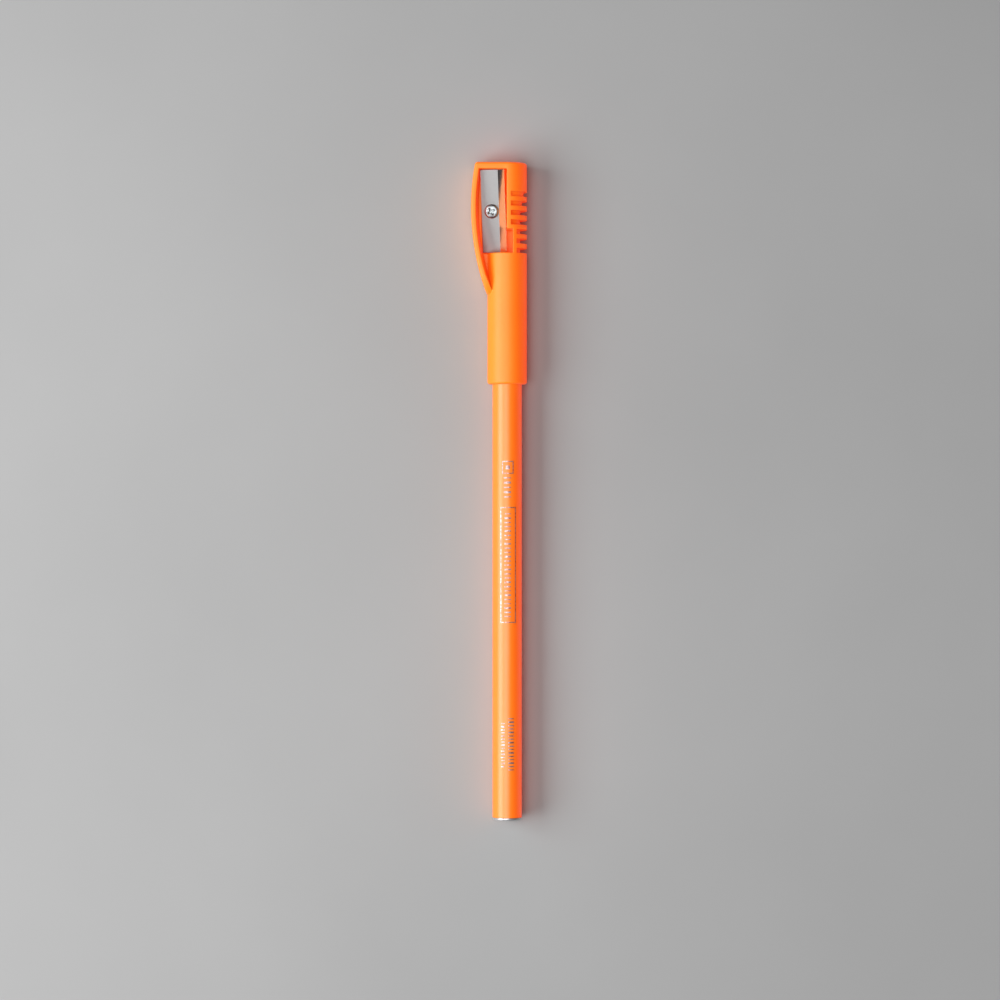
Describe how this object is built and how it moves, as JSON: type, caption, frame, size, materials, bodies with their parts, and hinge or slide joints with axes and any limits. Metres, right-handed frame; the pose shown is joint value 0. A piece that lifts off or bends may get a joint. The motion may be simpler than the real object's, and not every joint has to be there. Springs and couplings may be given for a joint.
{
  "type": "marking pencil with sharpener cap",
  "caption": "Round neon marking pencil in a push-on cap; the cap's head holds a screwed blade and a tapered hole that sharpen the pencil.",
  "frame": {"origin": "under the middle of the object's box, on the surface that it lies on", "axes": "+Y from the pencil's tail to the sharpener's mouth, +X from the blade housing to the grip fins, +Z out of the face that shows the blade"},
  "size_m": [0.0161, 0.19, 0.0114],
  "materials": {
    "cap_plastic": "satin neon orange moulding",
    "blade_steel": "flat ground steel",
    "screw_steel": "bright plated",
    "lacquer": "semi-gloss neon orange lacquer",
    "wood": "bare cut wood",
    "lead_core": "waxy orange",
    "dip_paint": "silver paint"
  },
  "bodies": {
    "pencil": {"lacquer_coat": "lacquer", "slat_front": "wood", "slat_back": "wood", "lead": "lead_core", "end_dip": "dip_paint"},
    "cap": {"cap_body": "cap_plastic", "blade": "blade_steel", "blade_screw": "screw_steel"}
  },
  "joints": [
    {"name": "cap_pull", "type": "slide", "parent": "pencil", "child": "cap", "axis": [0, 1, 0], "range_m": [0, 0.06]}
  ]
}
